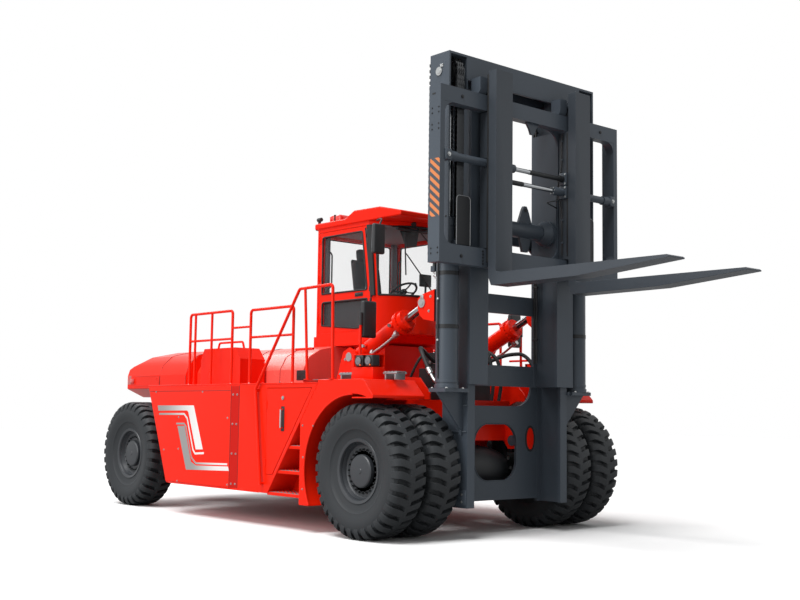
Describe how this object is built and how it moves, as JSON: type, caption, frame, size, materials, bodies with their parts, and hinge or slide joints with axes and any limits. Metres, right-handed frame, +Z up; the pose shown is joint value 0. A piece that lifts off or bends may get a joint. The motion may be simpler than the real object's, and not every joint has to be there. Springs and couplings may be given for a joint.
{
  "type": "heavy electric forklift",
  "caption": "Heavy electric counterbalance forklift with twin front wheels, duplex mast, wide carriage, two long forks, raised cab and battery body.",
  "frame": {"origin": "on the ground, at the middle of the overall length and width", "axes": "+X along the forks, +Y to the driver's left, +Z up"},
  "size_m": [10.6928, 4.19, 5.95],
  "materials": {
    "red_paint": "gloss",
    "dark_paint": "satin",
    "rubber": "matte",
    "steel": "satin",
    "chrome": "polished",
    "black_paint": "satin",
    "glass": "polished",
    "seat_cover": "matte",
    "plastic": "matte",
    "lamp": "gloss",
    "battery_case": "matte"
  },
  "bodies": {
    "chassis": {"frame": "red_paint", "drive_axle": "black_paint", "steer_axle": "black_paint", "counterweight": "red_paint", "battery": "battery_case", "hood": "red_paint", "side_boxes": "red_paint", "stair_boxes": "red_paint", "fenders": "red_paint", "handrails": "red_paint", "hatch": "red_paint", "cab_shell": "red_paint", "cab_roof": "red_paint", "cab_glass": "glass", "seat": "seat_cover", "console": "plastic", "lamps": "lamp", "mirrors": "plastic", "valves": "red_paint"},
    "mast": {"outer_mast": "dark_paint", "hoist_barrels": "dark_paint", "chains_rear": "steel"},
    "inner_mast": {"inner_mast": "dark_paint", "hoist_rods": "chrome", "sheaves": "dark_paint", "chains_front": "steel"},
    "carriage": {"carriage": "dark_paint", "positioner_barrels": "dark_paint"},
    "fork_right": {"fork_right": "dark_paint"},
    "tilt_barrel_right": {"tilt_barrel_right": "red_paint"},
    "tilt_rod_right": {"tilt_rod_right": "chrome"},
    "front_wheels_right": {"front_tyres_right": "rubber", "front_rims_right": "black_paint"},
    "knuckle_right": {"knuckle_right": "black_paint"},
    "rear_wheel_right": {"rear_tyre_right": "rubber", "rear_rim_right": "black_paint"},
    "cab_door_right": {"cab_door_right": "red_paint", "door_glass_right": "glass"},
    "access_door_right": {"access_door_right": "red_paint"},
    "fork_left": {"fork_left": "dark_paint"},
    "tilt_barrel_left": {"tilt_barrel_left": "red_paint"},
    "tilt_rod_left": {"tilt_rod_left": "chrome"},
    "front_wheels_left": {"front_tyres_left": "rubber", "front_rims_left": "black_paint"},
    "knuckle_left": {"knuckle_left": "black_paint"},
    "rear_wheel_left": {"rear_tyre_left": "rubber", "rear_rim_left": "black_paint"},
    "cab_door_left": {"cab_door_left": "red_paint", "door_glass_left": "glass"},
    "access_door_left": {"access_door_left": "red_paint"}
  },
  "joints": [
    {"name": "mast_tilt", "type": "hinge", "parent": "chassis", "child": "mast", "pos_m": [1.8735, 0, 1.18], "axis": [0, 1, 0], "range_deg": [-10, 6]},
    {"name": "tilt_barrel_right_swing", "type": "hinge", "parent": "chassis", "child": "tilt_barrel_right", "pos_m": [0.4035, -1.005, 2.262], "axis": [0, 1, 0], "range_deg": [-4.4, 2.7]},
    {"name": "tilt_rod_right_slide", "type": "slide", "parent": "tilt_barrel_right", "child": "tilt_rod_right", "axis": [0.904, 0, 0.4276], "range_m": [-0.29, 0.175]},
    {"name": "tilt_barrel_left_swing", "type": "hinge", "parent": "chassis", "child": "tilt_barrel_left", "pos_m": [0.4035, 1.005, 2.262], "axis": [0, 1, 0], "range_deg": [-4.4, 2.7]},
    {"name": "tilt_rod_left_slide", "type": "slide", "parent": "tilt_barrel_left", "child": "tilt_rod_left", "axis": [0.904, 0, 0.4276], "range_m": [-0.29, 0.175]},
    {"name": "inner_lift", "type": "slide", "parent": "mast", "child": "inner_mast", "axis": [0, 0, 1], "range_m": [-1.5, 0.3], "deforming": ["chains_rear"]},
    {"name": "carriage_lift", "type": "slide", "parent": "inner_mast", "child": "carriage", "axis": [0, 0, 1], "range_m": [-1.5, 0.3], "deforming": ["chains_front"]},
    {"name": "fork_right_shift", "type": "slide", "parent": "carriage", "child": "fork_right", "axis": [0, -1, 0], "range_m": [-0.25, 0.5]},
    {"name": "fork_left_shift", "type": "slide", "parent": "carriage", "child": "fork_left", "axis": [0, 1, 0], "range_m": [-0.25, 0.5]},
    {"name": "front_wheels_right_spin", "type": "hinge", "parent": "chassis", "child": "front_wheels_right", "pos_m": [1.6035, -1.5, 0.82], "axis": [0, 1, 0], "continuous": true},
    {"name": "front_wheels_left_spin", "type": "hinge", "parent": "chassis", "child": "front_wheels_left", "pos_m": [1.6035, 1.5, 0.82], "axis": [0, 1, 0], "continuous": true},
    {"name": "steer_left", "type": "hinge", "parent": "chassis", "child": "knuckle_left", "pos_m": [-4.3965, 1.15, 0.82], "axis": [0, 0, 1], "range_deg": [-60, 60]},
    {"name": "steer_right", "type": "hinge", "parent": "chassis", "child": "knuckle_right", "pos_m": [-4.3965, -1.15, 0.82], "axis": [0, 0, 1], "range_deg": [-60, 60]},
    {"name": "rear_wheel_right_spin", "type": "hinge", "parent": "knuckle_right", "child": "rear_wheel_right", "pos_m": [-4.3965, -1.63, 0.82], "axis": [0, 1, 0], "continuous": true},
    {"name": "rear_wheel_left_spin", "type": "hinge", "parent": "knuckle_left", "child": "rear_wheel_left", "pos_m": [-4.3965, 1.63, 0.82], "axis": [0, 1, 0], "continuous": true},
    {"name": "cab_door_right_swing", "type": "hinge", "parent": "chassis", "child": "cab_door_right", "pos_m": [-0.8545, -0.75, 3.4], "axis": [0, 0, -1], "range_deg": [0, 95]},
    {"name": "access_door_right_swing", "type": "hinge", "parent": "chassis", "child": "access_door_right", "pos_m": [-0.2495, -2.03, 1.3], "axis": [0, 0, -1], "range_deg": [0, 95]},
    {"name": "cab_door_left_swing", "type": "hinge", "parent": "chassis", "child": "cab_door_left", "pos_m": [-0.8545, 0.75, 3.4], "axis": [0, 0, 1], "range_deg": [0, 95]},
    {"name": "access_door_left_swing", "type": "hinge", "parent": "chassis", "child": "access_door_left", "pos_m": [-0.2495, 2.03, 1.3], "axis": [0, 0, 1], "range_deg": [0, 95]}
  ],
  "couplings": [
    {"joint": "tilt_barrel_right_swing", "follows": "mast_tilt", "ratio": 0.42379},
    {"joint": "tilt_rod_right_slide", "follows": "mast_tilt", "m_per_rad": 1.6191},
    {"joint": "tilt_barrel_left_swing", "follows": "mast_tilt", "ratio": 0.42379},
    {"joint": "tilt_rod_left_slide", "follows": "mast_tilt", "m_per_rad": 1.6191},
    {"joint": "carriage_lift", "follows": "inner_lift", "ratio": 1},
    {"joint": "steer_right", "follows": "steer_left", "ratio": 1}
  ]
}
